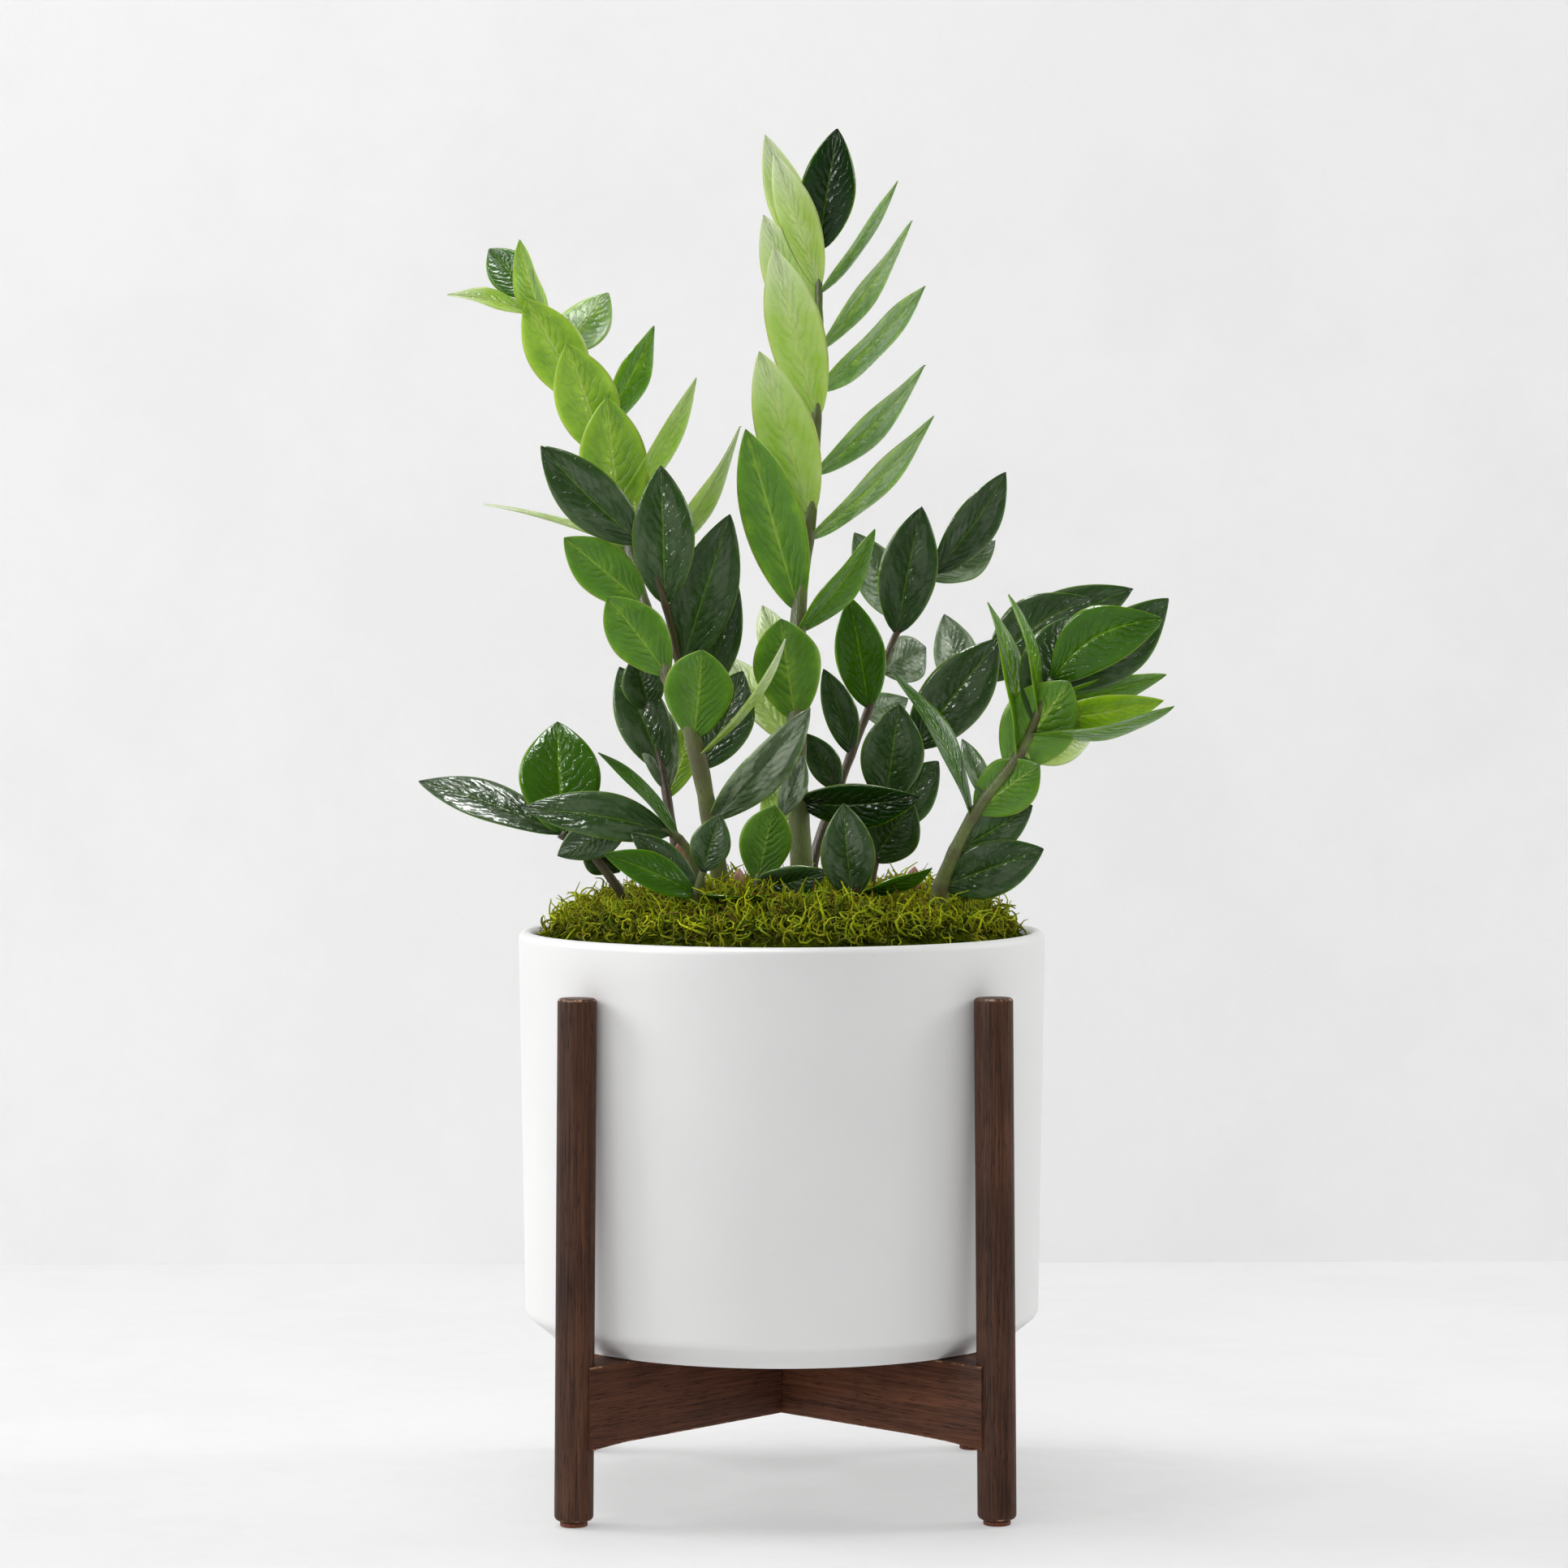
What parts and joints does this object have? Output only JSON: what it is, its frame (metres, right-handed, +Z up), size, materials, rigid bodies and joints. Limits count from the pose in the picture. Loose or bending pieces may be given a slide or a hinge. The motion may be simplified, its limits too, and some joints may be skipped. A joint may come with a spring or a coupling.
{
  "type": "potted zz plant",
  "caption": "Potted glossy-leaved houseplant in a matte ceramic cylinder pot, topped with moss, resting on a low wooden cross stand.",
  "frame": {"origin": "floor level, on the pot's axis at the middle of the stand", "axes": "+Z up along the pot's axis, -Y towards the front of the plant, +X to its right"},
  "size_m": [0.356, 0.254, 0.656],
  "materials": {
    "glaze": "matte white",
    "wood": "dark walnut stain, satin",
    "dowel_wood": "bare",
    "pad_felt": "matte brown",
    "earth": "potting soil",
    "moss_green": "sheet moss",
    "leaf_lime": "waxy light green leaf",
    "leaf_mid": "glossy green leaf",
    "leaf_dark": "glossy dark green leaf",
    "sheath_tan": "papery beige pink"
  },
  "bodies": {
    "root": {"pot": "glaze", "leg_front_left": "wood", "leg_front_right": "wood", "leg_back_left": "wood", "leg_back_right": "wood", "foot_pad_front_left": "pad_felt", "foot_pad_front_right": "pad_felt", "foot_pad_back_left": "pad_felt", "foot_pad_back_right": "pad_felt", "dowel_front_left": "dowel_wood", "dowel_front_right": "dowel_wood", "dowel_back_left": "dowel_wood", "dowel_back_right": "dowel_wood", "rail_lower_lap": "wood", "rail_upper_lap": "wood", "soil": "earth", "moss": "moss_green", "frond_tall": "leaf_lime", "frond_left_bright": "leaf_lime", "frond_left_dark": "leaf_dark", "frond_left_back": "leaf_dark", "frond_low_left": "leaf_dark", "frond_low_centre": "leaf_mid", "frond_short_left": "leaf_mid", "frond_young": "leaf_lime", "frond_centre_right": "leaf_mid", "frond_right_back": "leaf_dark", "frond_right_tall": "leaf_dark", "frond_right_front": "leaf_mid", "sheath_left": "sheath_tan", "sheath_centre": "sheath_tan", "sheath_right": "sheath_tan"}
  },
  "joints": []
}
